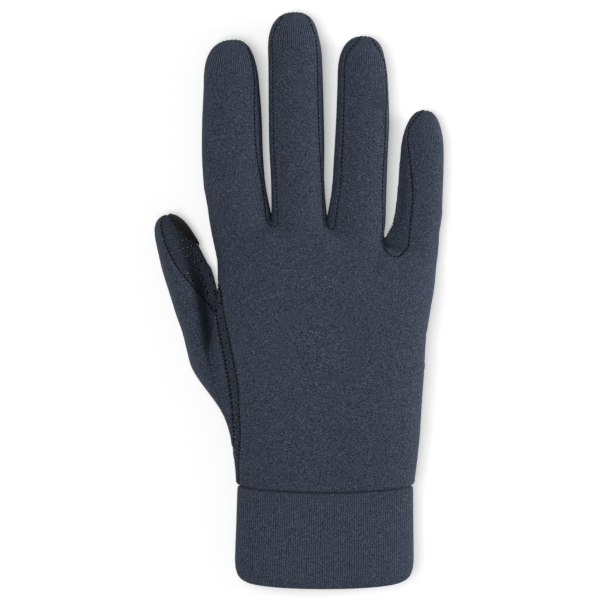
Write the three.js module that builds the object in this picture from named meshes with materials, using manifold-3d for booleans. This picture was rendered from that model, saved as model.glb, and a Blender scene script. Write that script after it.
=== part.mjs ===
import * as THREE from 'three';
import { mergeVertices } from 'three/addons/utils/BufferGeometryUtils.js';
import Module from 'manifold-3d';

// A right-hand glove of brushed stretch fleece, lying palm down and softly filled out.
// Millimetres: +Z up from the surface it lies on, +Y to the fingertips, +X to the little finger.
// The origin is on that surface, under the middle of the glove.
// The hand is a hollow fleece shell. Seams part it into the back, the palm, three finger gussets
// (the side walls between the fingers) and the two halves of the thumb.
// The cuff is a doubled band, and the thumb carries a touch patch.

// Cloth
const FLEECE = 1.5;
const CUFF_CLOTH = 2.2;
const SEAM_GAP = 0.3;
const GUSSET_SEAM_DROP = 2;

// Palm, from the cuff seam to the knuckle line
const PALM_LENGTH = 104.4;
const PALM_HEIGHT = 24;
const PALM_END_ROUND = 12;
const WRIST_WIDTH = 71;
const WRIST_OFFSET = 10.5;
const WRIST_SEAM_SAG = 3.2;

// Cuff
const CUFF_LENGTH = 37.6;
const CUFF_WIDTH = 71.2;
const CUFF_HEIGHT = 17.6;
const CUFF_CORE_OVERRUN = 5;
const HEM_DRAW_IN = 3.6;
const HEM_DROP_SHARE = 0.3;
const HEM_SAG_SHARE = 0.6;

// Fingers
const INDEX_LENGTH = 72;
const INDEX_WIDTH = 24.4;
const INDEX_HEIGHT = 15.5;
const INDEX_LEAN_DEG = -2.5;
const MIDDLE_LENGTH = 83.4;
const MIDDLE_WIDTH = 22;
const MIDDLE_HEIGHT = 16;
const MIDDLE_LEAN_DEG = -1.2;
const RING_LENGTH = 75.4;
const RING_WIDTH = 21.3;
const RING_HEIGHT = 15.5;
const RING_LEAN_DEG = 1.2;
const LITTLE_LENGTH = 54.2;
const LITTLE_WIDTH = 18;
const LITTLE_HEIGHT = 14;
const LITTLE_LEAN_DEG = 2.3;
const INDEX_TO_MIDDLE = 0.2;
const MIDDLE_TO_RING = 2.5;
const RING_TO_LITTLE = 4.1;
const FINGERTIP_ROUND = 18;
const FINGER_TUCK = 17;
const TUCK_NARROWING_SHARE = 0.25;
const STUB = 6;
const STUB_SHARE = 0.4;

// Thumb
const THUMB_LENGTH = 98;
const THUMB_WIDTH = 19;
const THUMB_HEIGHT = 17.5;
const THUMB_LEAN_DEG = -17.4;
const THUMB_REACH = 14;
const THUMB_TUCK = 4.8;
const THUMBTIP_ROUND = 12;

// Touch patch on the thumb
const PATCH_THICKNESS = 1;
const PATCH_LENGTH = 17;
const PATCH_BOTTOM = 3;

// Facets
const FINGER_SIDES = 16;
const PALM_SIDES = 20;
const TIP_STEPS = 4;
const FINGER_STEPS = 6;
const PALM_STEPS = 8;
const FINEST_EDGE = 0.01;

// The lying cross-section: the height of its widest level above the surface, how far the resting
// side would bulge below the surface if it were free, and how square the sides are.
// The back and the palm meet at the fingers' widest level.
const FINGER_WIDEST = 7;
const THUMB_WIDEST = 8;
const PALM_WIDEST = 9;
const CUFF_WIDEST = 8;
const RESTING_BULGE_SHARE = 1.2;
const FINGER_SQUARENESS_FACTOR = 2.8;
const PALM_SQUARENESS_FACTOR = 3.4;
const TIP_SQUARENESS_FACTOR = 2.2;

// Finger sections from the knuckle (0) to the tip (1). left, right: edges from the finger's axis,
// as shares of its width. top: share of its height. seamLeft, seamRight: the gusset seams on the
// back of the finger, as shares of its width, or null where the cloth wraps round without a seam.
const INDEX_SECTIONS = [
  { along: 0, left: 0.5, right: 0.49, top: 1.14, seamLeft: null, seamRight: 0.43 },
  { along: 0.18, left: 0.55, right: 0.445, top: 1.06, seamLeft: null, seamRight: 0.39 },
  { along: 0.36, left: 0.58, right: 0.425, top: 1, seamLeft: null, seamRight: 0.315 },
  { along: 0.56, left: 0.55, right: 0.435, top: 1, seamLeft: null, seamRight: 0.31 },
  { along: 0.76, left: 0.5, right: 0.42, top: 0.96, seamLeft: null, seamRight: 0.335 },
  { along: 0.88, left: 0.5, right: 0.41, top: 0.92, seamLeft: null, seamRight: 0.31 },
  { along: 0.97, left: 0.5, right: 0.4, top: 0.9, seamLeft: null, seamRight: 0.22 },
];
const MIDDLE_SECTIONS = [
  { along: 0, left: 0.5, right: 0.5, top: 1.14, seamLeft: -0.4, seamRight: 0.45 },
  { along: 0.18, left: 0.49, right: 0.485, top: 1.06, seamLeft: -0.41, seamRight: 0.435 },
  { along: 0.36, left: 0.51, right: 0.5, top: 1, seamLeft: -0.44, seamRight: 0.405 },
  { along: 0.56, left: 0.5, right: 0.495, top: 1, seamLeft: -0.435, seamRight: 0.397 },
  { along: 0.78, left: 0.5, right: 0.49, top: 0.96, seamLeft: -0.425, seamRight: 0.397 },
  { along: 0.89, left: 0.52, right: 0.47, top: 0.92, seamLeft: -0.41, seamRight: 0.36 },
  { along: 0.98, left: 0.53, right: 0.49, top: 0.9, seamLeft: -0.22, seamRight: 0.21 },
];
const RING_SECTIONS = [
  { along: 0, left: 0.6, right: 0.49, top: 1.14, seamLeft: -0.47, seamRight: 0.44 },
  { along: 0.18, left: 0.53, right: 0.5, top: 1.06, seamLeft: -0.393, seamRight: 0.418 },
  { along: 0.36, left: 0.5, right: 0.51, top: 1, seamLeft: -0.367, seamRight: 0.438 },
  { along: 0.56, left: 0.475, right: 0.525, top: 1, seamLeft: -0.35, seamRight: 0.455 },
  { along: 0.76, left: 0.46, right: 0.49, top: 0.96, seamLeft: -0.35, seamRight: 0.44 },
  { along: 0.88, left: 0.475, right: 0.46, top: 0.92, seamLeft: -0.33, seamRight: 0.38 },
  { along: 0.98, left: 0.48, right: 0.48, top: 0.9, seamLeft: -0.08, seamRight: 0.16 },
];
const LITTLE_SECTIONS = [
  { along: 0, left: 0.72, right: 0.45, top: 1.14, seamLeft: -0.245, seamRight: null },
  { along: 0.18, left: 0.59, right: 0.465, top: 1.06, seamLeft: -0.218, seamRight: null },
  { along: 0.36, left: 0.53, right: 0.48, top: 1, seamLeft: -0.19, seamRight: null },
  { along: 0.56, left: 0.505, right: 0.478, top: 1, seamLeft: -0.262, seamRight: null },
  { along: 0.76, left: 0.48, right: 0.475, top: 0.96, seamLeft: -0.35, seamRight: null },
  { along: 0.88, left: 0.45, right: 0.45, top: 0.92, seamLeft: -0.31, seamRight: null },
  { along: 0.98, left: 0.43, right: 0.45, top: 0.9, seamLeft: -0.06, seamRight: null },
];

// Thumb sections from its root in the palm (0) to the tip (1), in shares of the thumb's sizes.
// seam: where the dotted inner half meets the plain outer half.
const THUMB_SECTIONS = [
  { along: 0, left: 0, right: 0.6, top: 0.9, seam: 0.7 },
  { along: 0.12, left: 0.12, right: 0.6, top: 0.95, seam: 0.7 },
  { along: 0.22, left: 0.24, right: 0.58, top: 1, seam: 0.7 },
  { along: 0.32, left: 0.43, right: 0.56, top: 1.04, seam: 0.7 },
  { along: 0.41, left: 0.52, right: 0.54, top: 1.04, seam: 0.66 },
  { along: 0.52, left: 0.46, right: 0.53, top: 1, seam: 0.46 },
  { along: 0.6, left: 0.46, right: 0.54, top: 1, seam: 0.264 },
  { along: 0.69, left: 0.46, right: 0.54, top: 1, seam: 0.05 },
  { along: 0.79, left: 0.44, right: 0.51, top: 0.98, seam: -0.14 },
  { along: 0.86, left: 0.43, right: 0.44, top: 0.95, seam: -0.214 },
  { along: 0.93, left: 0.46, right: 0.37, top: 0.92, seam: -0.2 },
  { along: 0.985, left: 0.52, right: 0.35, top: 0.9, seam: -0.06 },
];

// Palm sections from the cuff seam (0) to the knuckle line (1). left, right: how far each edge has
// moved from the wrist's edge (0) to the outer finger's edge (1). top: share of the palm's height.
// thumbSeam, backSeam: how far in from the left edge the two seams run that bound the strip of
// dotted palm cloth beside the thumb, as shares of the wrist's width.
const PALM_SECTIONS = [
  { along: 0, left: 0, right: 0, top: 0.74, thumbSeam: -0.05, backSeam: 0.013 },
  { along: 0.1, left: 0.13, right: 0.12, top: 0.84, thumbSeam: -0.006, backSeam: 0.033 },
  { along: 0.2, left: 0.27, right: 0.22, top: 0.91, thumbSeam: 0.022, backSeam: 0.062 },
  { along: 0.3, left: 0.42, right: 0.28, top: 0.96, thumbSeam: 0.037, backSeam: 0.085 },
  { along: 0.45, left: 0.62, right: 0.38, top: 1, thumbSeam: 0.041, backSeam: 0.094 },
  { along: 0.6, left: 0.8, right: 0.46, top: 1, thumbSeam: 0.02, backSeam: 0.077 },
  { along: 0.75, left: 0.74, right: 0.68, top: 0.97, thumbSeam: 0.009, backSeam: 0.018 },
  { along: 0.87, left: 0.68, right: 0.88, top: 0.9, thumbSeam: -0.05, backSeam: -0.05 },
  { along: 1, left: 0.96, right: 1, top: 0.8, thumbSeam: -0.05, backSeam: -0.05 },
];

// Cuff sections from its seam (0) to its hem (1). drawnIn: share of HEM_DRAW_IN. The top sinks by
// HEM_DROP_SHARE times as much as a side draws in.
const CUFF_SECTIONS = [
  { down: 0, drawnIn: 0 },
  { down: 0.4, drawnIn: 0 },
  { down: 0.8, drawnIn: 0 },
  { down: 0.91, drawnIn: 0.15 },
  { down: 0.97, drawnIn: 0.5 },
  { down: 1, drawnIn: 1 },
];

// Knuckle line: where the web of each gap between the fingers lies, and each finger's root,
// as shares of the palm's length.
const KNUCKLE_SHARES = {
  index: 1.023, indexMiddle: 1.017, middle: 1.015, middleRing: 1.008, ring: 1, ringLittle: 0.9, little: 0.923,
};

// A smooth value of one column of a section table. Outside the table its end values hold.
function lookUp(rows, along, column) {
  const at = Math.min(Math.max(along, rows[0].along), rows[rows.length - 1].along);
  const i = Math.min(rows.findLastIndex((row) => row.along <= at), rows.length - 2);
  const slope = (k) => {
    const before = rows[Math.max(k - 1, 0)];
    const after = rows[Math.min(k + 1, rows.length - 1)];
    return (after[column] - before[column]) / (after.along - before.along);
  };
  const span = rows[i + 1].along - rows[i].along;
  const t = (at - rows[i].along) / span;
  const [a, b] = [rows[i][column], rows[i + 1][column]];
  return a * (1 + 2 * t) * (1 - t) ** 2 + slope(i) * span * t * (1 - t) ** 2
    + b * t * t * (3 - 2 * t) + slope(i + 1) * span * t * t * (t - 1);
}

// One lying cross-section as [sideways, height] pairs, taken in by `inset` on every side.
// `round` shrinks it towards its widest level, from 1 to 0, for a closed tip.
function section({ left, right, top, level, inset, round, sides, squareness, flatEnd = false }) {
  const bulge = level * RESTING_BULGE_SHARE;
  const rise = top - level;
  const power = (v) => Math.sign(v) * Math.abs(v) ** (2 / squareness);
  return Array.from({ length: sides }, (_, i) => {
    const turn = (2 * Math.PI * i) / sides;
    const [across, up] = [power(Math.cos(turn)), power(Math.sin(turn))];
    const reach = ((across < 0 ? left : right) - inset) * (flatEnd ? 1 : round);
    const height = ((up < 0 ? bulge : rise) - inset) * round;
    return [reach * across, Math.max(level + height * up, inset, 0)];
  });
}

// Share of full size at a distance past the start of a rounded end.
function endRound(past, length) {
  const u = Math.min(Math.max(past / length, 0), 1);
  return (1 - u ** TIP_SQUARENESS_FACTOR) ** (1 / TIP_SQUARENESS_FACTOR);
}

const wasm = await Module();
wasm.setup();

// A three.js geometry as a solid that can be joined and cut.
function solidFrom(geometry) {
  const bare = geometry.clone();
  bare.deleteAttribute('normal');
  bare.deleteAttribute('uv');
  const merged = mergeVertices(bare, 1e-4);
  return new wasm.Manifold(new wasm.Mesh({
    numProp: 3,
    vertProperties: new Float32Array(merged.attributes.position.array),
    triVerts: new Uint32Array(merged.index.array),
    tolerance: FINEST_EDGE,
  }));
}

// A closed solid through rings of points that run round the same way, with flat or fanned ends.
function loft(rings) {
  const sides = rings[0].length;
  const points = rings.flat();
  const faces = [];
  for (let r = 0; r + 1 < rings.length; r += 1) {
    for (let i = 0; i < sides; i += 1) {
      const [a, b] = [r * sides + i, r * sides + ((i + 1) % sides)];
      faces.push(a, b, b + sides, a, b + sides, a + sides);
    }
  }
  [0, rings.length - 1].forEach((r) => {
    const centre = rings[r].reduce((sum, p) => sum.add(p), new THREE.Vector3()).divideScalar(sides);
    const hub = points.push(centre) - 1;
    for (let i = 0; i < sides; i += 1) {
      const [a, b] = [r * sides + i, r * sides + ((i + 1) % sides)];
      faces.push(...(r ? [a, b, hub] : [b, a, hub]));
    }
  });
  const geometry = new THREE.BufferGeometry().setFromPoints(points).setIndex(faces);
  const solid = solidFrom(geometry);
  return solid.volume() < 0 ? solidFrom(geometry.setIndex(faces.reverse())) : solid;
}

// An upright block over a plan outline of THREE.Vector2 points.
function blockOver(outline, bottom, top) {
  const shape = new THREE.Shape(outline);
  const geometry = new THREE.ExtrudeGeometry(shape, { depth: top - bottom, bevelEnabled: false });
  return solidFrom(geometry.translate(0, 0, bottom));
}

// The outline moved outwards by a distance (inwards if it is negative).
function offsetOutline(outline, distance) {
  const turning = THREE.ShapeUtils.isClockWise(outline) ? -1 : 1;
  return outline.map((point, i) => {
    const before = outline[(i + outline.length - 1) % outline.length];
    const after = outline[(i + 1) % outline.length];
    const [into, out] = [point.clone().sub(before).normalize(), after.clone().sub(point).normalize()];
    const normal = new THREE.Vector2(into.y + out.y, -into.x - out.x).normalize();
    return point.clone().addScaledVector(normal, distance * turning);
  });
}

function smoothLine(points, count) {
  const curve = new THREE.CatmullRomCurve3(points.map((p) => new THREE.Vector3(p.x, p.y, 0)));
  return curve.getPoints(count).map((p) => new THREE.Vector2(p.x, p.y));
}

// Each finger lies on an axis in plan: root, length and lean, with its section table.
const middleToIndex = MIDDLE_WIDTH / 2 + INDEX_TO_MIDDLE + INDEX_WIDTH / 2;
const middleToRing = MIDDLE_WIDTH / 2 + MIDDLE_TO_RING + RING_WIDTH / 2;
const ringToLittle = RING_WIDTH / 2 + RING_TO_LITTLE + LITTLE_WIDTH / 2;

function digit(name, x, y, length, width, height, level, lean, sections, round) {
  const turn = THREE.MathUtils.degToRad(lean);
  const ahead = new THREE.Vector2(Math.sin(turn), Math.cos(turn));
  const aside = new THREE.Vector2(Math.cos(turn), -Math.sin(turn));
  const root = new THREE.Vector2(x, y);
  // A point in plan from shares of the digit's length and width.
  const at = (along, side) => root.clone().addScaledVector(ahead, along * length)
    .addScaledVector(aside, side * width);
  return { name, root, length, width, height, level, sections, round, at };
}

const index = digit('index', -middleToIndex, KNUCKLE_SHARES.index * PALM_LENGTH, INDEX_LENGTH,
  INDEX_WIDTH, INDEX_HEIGHT, FINGER_WIDEST, INDEX_LEAN_DEG, INDEX_SECTIONS, FINGERTIP_ROUND);
const middle = digit('middle', 0, KNUCKLE_SHARES.middle * PALM_LENGTH, MIDDLE_LENGTH,
  MIDDLE_WIDTH, MIDDLE_HEIGHT, FINGER_WIDEST, MIDDLE_LEAN_DEG, MIDDLE_SECTIONS, FINGERTIP_ROUND);
const ring = digit('ring', middleToRing, KNUCKLE_SHARES.ring * PALM_LENGTH, RING_LENGTH,
  RING_WIDTH, RING_HEIGHT, FINGER_WIDEST, RING_LEAN_DEG, RING_SECTIONS, FINGERTIP_ROUND);
const little = digit('little', middleToRing + ringToLittle, KNUCKLE_SHARES.little * PALM_LENGTH,
  LITTLE_LENGTH, LITTLE_WIDTH, LITTLE_HEIGHT, FINGER_WIDEST, LITTLE_LEAN_DEG, LITTLE_SECTIONS,
  FINGERTIP_ROUND);

// Palm edges and seam lines in plan
const WRIST_LEFT = WRIST_OFFSET - WRIST_WIDTH / 2;
const WRIST_RIGHT = WRIST_OFFSET + WRIST_WIDTH / 2;
const KNUCKLE_LEFT = -middleToIndex - INDEX_SECTIONS[0].left * INDEX_WIDTH;
const KNUCKLE_RIGHT = middleToRing + ringToLittle + LITTLE_SECTIONS[0].right * LITTLE_WIDTH;
const palmEdge = (along, wrist, knuckle, column) => THREE.MathUtils.lerp(
  wrist,
  knuckle,
  lookUp(PALM_SECTIONS, along, column),
);
const palmLeft = (along) => palmEdge(along, WRIST_LEFT, KNUCKLE_LEFT, 'left');
const palmRight = (along) => palmEdge(along, WRIST_RIGHT, KNUCKLE_RIGHT, 'right');

const thumb = digit('thumb', palmLeft(THUMB_REACH / PALM_LENGTH) + THUMB_TUCK, THUMB_REACH, THUMB_LENGTH,
  THUMB_WIDTH, THUMB_HEIGHT, THUMB_WIDEST, THUMB_LEAN_DEG, THUMB_SECTIONS, THUMBTIP_ROUND);

// The webs between the fingers lie midway between the neighbouring roots.
function webPoint(a, b, share) {
  const x = (a.at(0, a.sections[0].right).x + b.at(0, -b.sections[0].left).x) / 2;
  return new THREE.Vector2(x, share * PALM_LENGTH);
}
const webs = [
  webPoint(index, middle, KNUCKLE_SHARES.indexMiddle),
  webPoint(middle, ring, KNUCKLE_SHARES.middleRing),
  webPoint(ring, little, KNUCKLE_SHARES.ringLittle),
];

// The far edge of the palm in plan runs through the webs.
function knuckleLine(x) {
  const [first, , last] = webs;
  if (x <= first.x) return first.y;
  if (x >= last.x) return last.y;
  const i = x < webs[1].x ? 0 : 1;
  return THREE.MathUtils.mapLinear(x, webs[i].x, webs[i + 1].x, webs[i].y, webs[i + 1].y);
}

// The cuff seam sags towards the hem at mid width. side runs from -1 to 1 across the wrist.
const wristLine = (side) => -WRIST_SEAM_SAG * (1 - Math.min(side * side, 1)) ** 0.7;

// A digit as a solid, taken in by inset. It narrows inside the palm, and closes there in a stub.
function digitSolid(d, inset, tuck) {
  const reach = d.length - inset;
  const tipStart = d.length - d.round;
  const distances = [-tuck - STUB, -tuck];
  for (let i = tuck ? 0 : 1; i <= FINGER_STEPS; i += 1) distances.push((tipStart * i) / FINGER_STEPS);
  for (let i = 1; i <= TIP_STEPS; i += 1) {
    distances.push(tipStart + (reach - tipStart) * Math.sin(((i - 0.12) / TIP_STEPS) * (Math.PI / 2)));
  }
  return loft(distances.map((distance, i) => {
    const along = distance / d.length;
    const narrowing = distance < 0 ? 1 + (TUCK_NARROWING_SHARE * distance) / FINGER_TUCK : 1;
    const outline = section({
      left: lookUp(d.sections, along, 'left') * d.width * narrowing,
      right: lookUp(d.sections, along, 'right') * d.width * narrowing,
      top: lookUp(d.sections, along, 'top') * d.height,
      level: d.level,
      round: i ? endRound(distance - tipStart, reach - tipStart) : STUB_SHARE,
      inset,
      sides: FINGER_SIDES,
      squareness: FINGER_SQUARENESS_FACTOR,
    });
    return outline.map(([side, z]) => {
      const p = d.at(along, side / d.width);
      return new THREE.Vector3(p.x, p.y, z);
    });
  }));
}

// The palm as a solid, taken in by inset, starting `overrun` before the cuff seam.
function palmSolid(inset, overrun) {
  const end = PALM_LENGTH - inset;
  const roundStart = PALM_LENGTH - PALM_END_ROUND;
  const distances = overrun ? [-overrun] : [];
  for (let i = 0; i <= PALM_STEPS; i += 1) distances.push((roundStart * i) / PALM_STEPS);
  for (let i = 1; i <= 3; i += 1) {
    distances.push(roundStart + (end - roundStart) * Math.sin(((i - 0.15) / 3) * (Math.PI / 2)));
  }
  return loft(distances.map((distance) => {
    const along = distance / PALM_LENGTH;
    const middleX = (palmLeft(along) + palmRight(along)) / 2;
    const half = (palmRight(along) - palmLeft(along)) / 2;
    return section({
      left: half,
      right: half,
      top: lookUp(PALM_SECTIONS, along, 'top') * PALM_HEIGHT,
      level: THREE.MathUtils.lerp(PALM_WIDEST, FINGER_WIDEST, Math.max(along, 0) ** 3),
      round: endRound(distance - roundStart, end - roundStart),
      flatEnd: true,
      inset,
      sides: PALM_SIDES,
      squareness: PALM_SQUARENESS_FACTOR,
    }).map(([side, z]) => {
      const x = middleX + side;
      const start = wristLine(side / half);
      const y = distance < 0 ? start + distance : start + (knuckleLine(x) - start) * along;
      return new THREE.Vector3(x, y, z);
    });
  }));
}

// The cuff as an open ring from its seam to its hem, where its sides draw in a little.
function cuffSolid() {
  const tube = (inset, overrun) => loft(CUFF_SECTIONS.map((row) => {
    const half = CUFF_WIDTH / 2 - row.drawnIn * HEM_DRAW_IN;
    const extra = overrun * (Number(row.down === 0) - Number(row.down === 1));
    return section({
      left: half,
      right: half,
      top: CUFF_HEIGHT - row.drawnIn * HEM_DRAW_IN * HEM_DROP_SHARE,
      level: CUFF_WIDEST,
      round: 1,
      inset,
      sides: PALM_SIDES,
      squareness: PALM_SQUARENESS_FACTOR,
    }).map(([side, z]) => {
      const seam = wristLine(side / half) - SEAM_GAP;
      const hem = seam * HEM_SAG_SHARE - WRIST_SEAM_SAG * (1 - HEM_SAG_SHARE) - CUFF_LENGTH;
      return new THREE.Vector3(WRIST_OFFSET + side, THREE.MathUtils.lerp(seam, hem, row.down) + extra, z);
    });
  }));
  return tube(0, 0).subtract(tube(CUFF_CLOTH, CUFF_CORE_OVERRUN));
}

// The plan outline of the gusset between two neighbouring fingers. Its U-shaped seam runs down one
// finger, below the web and up the next, and the outline closes beyond both tips.
function gussetOutline(a, b, web) {
  const beyond = 1 + FLEECE / Math.min(a.length, b.length);
  const foot = (d, side) => d.at(Math.min((web.y - d.root.y) / d.length, -0.02), side);
  const down = [...a.sections].reverse().map((row) => a.at(row.along, row.seamRight));
  down.push(foot(a, a.sections[0].seamRight));
  const up = b.sections.map((row) => b.at(row.along, row.seamLeft));
  up.unshift(foot(b, b.sections[0].seamLeft));
  const bottom = new THREE.Vector2((down.at(-1).x + up[0].x) / 2, web.y - GUSSET_SEAM_DROP);
  const seam = smoothLine([...down, bottom, ...up], Math.round(1.6 * (down.length + up.length)));
  const aEnd = a.at(beyond, a.sections.at(-1).seamRight);
  const bEnd = b.at(beyond, b.sections.at(-1).seamLeft);
  const far = Math.max(aEnd.y, bEnd.y) + FLEECE;
  return [aEnd, ...seam, bEnd, new THREE.Vector2(bEnd.x, far), new THREE.Vector2(aEnd.x, far)];
}

// A palm seam line in plan, from the cuff to the thumb's crotch or past it.
function palmSeam(column, from, to) {
  const rows = PALM_SECTIONS.filter((row) => row.along >= from && row.along <= to);
  const points = rows.map((row) => new THREE.Vector2(
    palmLeft(row.along) + row[column] * WRIST_WIDTH,
    row.along * PALM_LENGTH,
  ));
  return smoothLine(points, 2 * points.length);
}

const THUMB_CROTCH_SHARE = 0.75;

// Plan outline of the whole thumb, left of its seam with the palm.
function thumbOutline() {
  const seam = palmSeam('thumbSeam', 0.1, THUMB_CROTCH_SHARE);
  const clear = 0.62;
  return [
    thumb.at(-0.15, -1.5),
    new THREE.Vector2(palmLeft(0.05) - FLEECE, 0.05 * PALM_LENGTH),
    ...seam,
    thumb.at(0.76, clear),
    thumb.at(0.9, clear),
    thumb.at(1.1, clear),
    thumb.at(1.1, -1.5),
  ];
}

// Plan outline of the thumb's dotted inner half, right of the seam along the thumb.
function thumbInnerOutline() {
  const rows = THUMB_SECTIONS.filter((row) => row.along > 0.5);
  const seam = smoothLine(rows.map((row) => thumb.at(row.along, row.seam)), 2 * rows.length);
  const end = thumb.at(1.1, rows.at(-1).seam);
  return [thumb.at(0.43, 1.5), thumb.at(0.49, 0.75), ...seam, end, thumb.at(1.1, 1.5)];
}

// Plan outline of the back of the hand: everything right of the seam beside the thumb.
function backOutline() {
  const seam = palmSeam('backSeam', 0, 0.87);
  const far = PALM_LENGTH + MIDDLE_LENGTH * 1.2;
  const wide = KNUCKLE_RIGHT * 1.5;
  return [
    new THREE.Vector2(seam[0].x, -WRIST_SEAM_SAG * 2),
    ...seam,
    new THREE.Vector2(KNUCKLE_LEFT * 1.5, seam.at(-1).y),
    new THREE.Vector2(KNUCKLE_LEFT * 1.5, far),
    new THREE.Vector2(wide, far),
    new THREE.Vector2(wide, -WRIST_SEAM_SAG * 2),
  ];
}

// Plan outline of the touch patch, over the inner side of the thumb's tip.
function patchOutline() {
  const start = 1 - PATCH_LENGTH / THUMB_LENGTH;
  return [
    thumb.at(start, 0.45),
    thumb.at(start + 0.05, 0.29),
    thumb.at(start + 0.11, 0.12),
    thumb.at(start + 0.16, 0.02),
    thumb.at(1.05, 0.05),
    thumb.at(1.05, 0.9),
    thumb.at(start, 0.9),
  ];
}

const digits = [index, middle, ring, little];
const HIGH = PALM_HEIGHT * 1.2;
const LOW = -1;

function join(solids) {
  return solids.reduce((sum, solid) => sum.add(solid));
}

const outside = join([
  palmSolid(0, 0),
  ...digits.map((d) => digitSolid(d, 0, FINGER_TUCK)),
  digitSolid(thumb, 0, 0),
]);
const inside = join([
  palmSolid(FLEECE, 2 * WRIST_SEAM_SAG),
  ...digits.map((d) => digitSolid(d, FLEECE, FINGER_TUCK)),
  digitSolid(thumb, FLEECE, 0),
]);
const shell = outside.subtract(inside);

const halfGap = SEAM_GAP / 2;
const gussets = [[index, middle], [middle, ring], [ring, little]].map(([a, b], i) => ({
  name: `gusset_${a.name}_${b.name}`,
  outline: gussetOutline(a, b, webs[i]),
}));
const cutGussets = (solid) => gussets.reduce(
  (rest, g) => rest.subtract(blockOver(offsetOutline(g.outline, halfGap), LOW, HIGH)),
  solid,
);

const backBlock = (grow) => blockOver(offsetOutline(backOutline(), grow), FINGER_WIDEST - grow, HIGH);
const thumbBlock = (grow) => blockOver(offsetOutline(thumbOutline(), grow), LOW, HIGH);
const thumbInnerBlock = (grow) => blockOver(offsetOutline(thumbInnerOutline(), grow), LOW, HIGH);

const thumbShell = shell.intersect(thumbBlock(-halfGap));
const hand = cutGussets(shell.subtract(thumbBlock(halfGap)));
const patchShell = digitSolid(thumb, -SEAM_GAP - PATCH_THICKNESS, 0)
  .subtract(digitSolid(thumb, -SEAM_GAP, 0));

const pieces = {
  back_panel: hand.intersect(backBlock(-halfGap)),
  palm_panel: hand.subtract(backBlock(halfGap)),
  thumb_outer: thumbShell.subtract(thumbInnerBlock(halfGap)),
  thumb_inner: thumbShell.intersect(thumbInnerBlock(-halfGap)),
  thumb_touch_patch: patchShell.intersect(blockOver(patchOutline(), PATCH_BOTTOM, HIGH)),
  cuff_band: cuffSolid(),
};
gussets.forEach((g) => {
  pieces[g.name] = shell.intersect(blockOver(offsetOutline(g.outline, -halfGap), LOW, HIGH));
});

// Brushed navy fleece, and the black touch cloth
const fleece = new THREE.MeshStandardMaterial({ color: 0x3a4250, roughness: 0.95, metalness: 0 });
const touchCloth = new THREE.MeshStandardMaterial({ color: 0x1d1d1c, roughness: 0.6, metalness: 0 });

function meshOf(name, solid) {
  const { vertProperties, triVerts } = solid.getMesh();
  const geometry = new THREE.BufferGeometry();
  geometry.setAttribute('position', new THREE.BufferAttribute(vertProperties, 3));
  geometry.setIndex(new THREE.BufferAttribute(triVerts, 1));
  geometry.computeVertexNormals();
  const mesh = new THREE.Mesh(geometry, name === 'thumb_touch_patch' ? touchCloth : fleece);
  mesh.name = name;
  return mesh;
}

// The whole glove, moved so that the origin is under the middle of its extents.
const worn = new THREE.Group();
Object.entries(pieces).forEach(([name, solid]) => worn.add(meshOf(name, solid)));
const extents = new THREE.Box3().setFromObject(worn);
const centre = extents.getCenter(new THREE.Vector3());
worn.position.set(-centre.x, -centre.y, -extents.min.z);

const glove = new THREE.Group();
glove.add(worn);

export default glove;
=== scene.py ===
import math

import bpy
import numpy as np
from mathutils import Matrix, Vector
from mathutils.bvhtree import BVHTree
from mathutils.kdtree import KDTree


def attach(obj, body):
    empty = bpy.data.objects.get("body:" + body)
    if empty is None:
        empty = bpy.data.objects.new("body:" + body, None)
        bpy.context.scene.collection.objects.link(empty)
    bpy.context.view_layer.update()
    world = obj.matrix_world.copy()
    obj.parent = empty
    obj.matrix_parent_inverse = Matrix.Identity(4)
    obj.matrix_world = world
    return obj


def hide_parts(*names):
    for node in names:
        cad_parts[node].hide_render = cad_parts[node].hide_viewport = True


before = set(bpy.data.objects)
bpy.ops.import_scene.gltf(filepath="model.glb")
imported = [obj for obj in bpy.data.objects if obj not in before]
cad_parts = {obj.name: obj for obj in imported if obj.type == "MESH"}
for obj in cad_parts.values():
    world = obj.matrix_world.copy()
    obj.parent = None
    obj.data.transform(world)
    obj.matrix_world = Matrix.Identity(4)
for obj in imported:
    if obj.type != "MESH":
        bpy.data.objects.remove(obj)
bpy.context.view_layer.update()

# Hand body: the stretch fleece from the cuff seam to the knuckles, one round of cloth that lies
# palm down and is softly filled out. Sizes are in millimetres, with the middle finger at x = 0
# and the sides of the cuff seam at y = 0. Shares are of the size that they are named after.
PALM_LENGTH, PALM_HEIGHT, PALM_END_ROUND = 104.4, 24.0, 12.0
WRIST_WIDTH, WRIST_OFFSET = 71.0, 10.5
WRIST_RAISE, WRIST_SAG, WRIST_SAG_SHAPE = 0.8, 3.0, 0.7
KNUCKLE_LEFT, KNUCKLE_RIGHT = -35.6, 56.0
PALM = {
    "along": (0, 0.1, 0.2, 0.3, 0.38, 0.45, 0.52, 0.6, 0.68, 0.75, 0.87, 1),
    "left": (0, 0.1, 0.28, 0.62, 0.82, 0.98, 0.99, 0.89, 0.83, 0.71, 0.73, 0.95),
    "right": (0, 0.12, 0.22, 0.28, 0.33, 0.38, 0.42, 0.46, 0.57, 0.68, 0.88, 1),
    "top": (0.74, 0.84, 0.91, 0.96, 0.98, 1, 1, 1, 0.99, 0.97, 0.9, 0.8),
    "thumb_seam": (-0.05, -0.01, 0.0235, 0.067, 0.083, 0.089, 0.071, 0.03, 0.006, 0, -0.05, -0.05),
    "back_seam": (0.013, 0.028, 0.064, 0.108, 0.134, 0.141, 0.122, 0.083, 0.048, 0.012, -0.05, -0.05),
}
# Heights of the widest level of the palm and of a finger, and how square their sections are.
# Below that level the cloth bulges down and is pressed flat by the table.
PALM_WIDEST, FINGER_WIDEST, RESTING_BULGE = 9.0, 7.0, 1.2
PALM_SQUARENESS, FINGER_SQUARENESS, TIP_SQUARENESS = 3.4, 2.8, 2.5


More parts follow.
